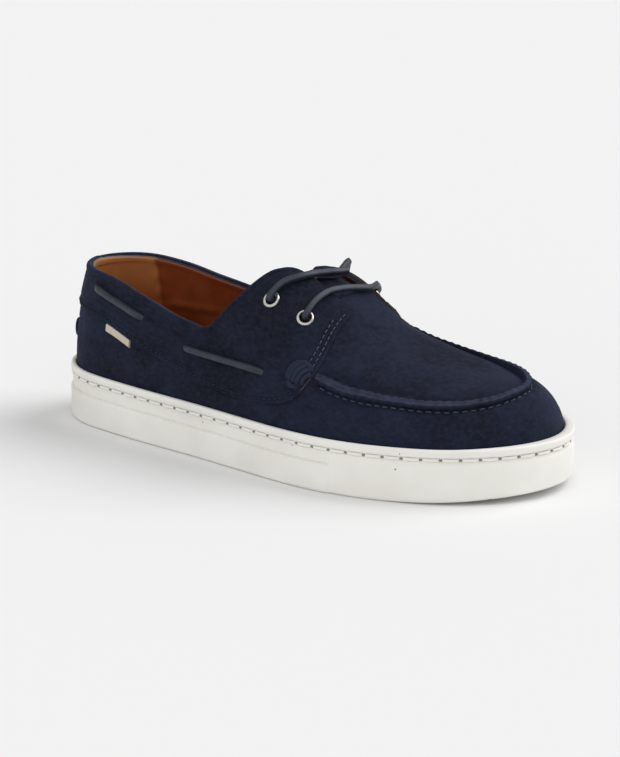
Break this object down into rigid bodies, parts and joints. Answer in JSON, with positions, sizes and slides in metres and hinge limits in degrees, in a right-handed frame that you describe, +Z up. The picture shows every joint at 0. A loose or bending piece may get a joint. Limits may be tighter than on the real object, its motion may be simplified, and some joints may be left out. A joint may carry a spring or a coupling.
{
  "type": "boat shoe",
  "caption": "Low suede boat shoe with a raised moc seam, leather laces through metal eyelets and along the collar, and a pale rubber cup sole.",
  "frame": {"origin": "on the floor, under the middle of the shoe's bounding box", "axes": "+X from the heel to the toe, +Y towards the inner side of the foot, +Z up"},
  "size_m": [0.295, 0.1132, 0.0993],
  "materials": {
    "suede": "matte napped suede, dark navy",
    "rubber_sole": "matte moulded rubber, off-white",
    "lining_leather": "smooth tan to red-brown lining leather",
    "lace_leather": "semi-matte round leather cord, grey-navy",
    "eyelet_metal": "satin nickel-plated eyelets",
    "ribbon": "plain woven ecru ribbon"
  },
  "bodies": {
    "root": {"collar_lace_front_inner": "lace_leather", "collar_lace_front_outer": "lace_leather", "collar_lace_rear_inner": "lace_leather", "collar_lace_rear_outer": "lace_leather", "collar_panel_inner": "suede", "collar_panel_outer": "suede", "eyelet_front_inner": "eyelet_metal", "eyelet_front_outer": "eyelet_metal", "eyelet_rear_inner": "eyelet_metal", "eyelet_rear_outer": "eyelet_metal", "heel_loop": "suede", "heel_strip": "suede", "insole": "lining_leather", "lace_end_inner": "lace_leather", "lace_end_outer": "lace_leather", "lace_front_bar": "lace_leather", "outsole": "rubber_sole", "plug_seam": "suede", "side_tab": "ribbon", "tongue": "suede", "upper": "suede"}
  },
  "joints": []
}
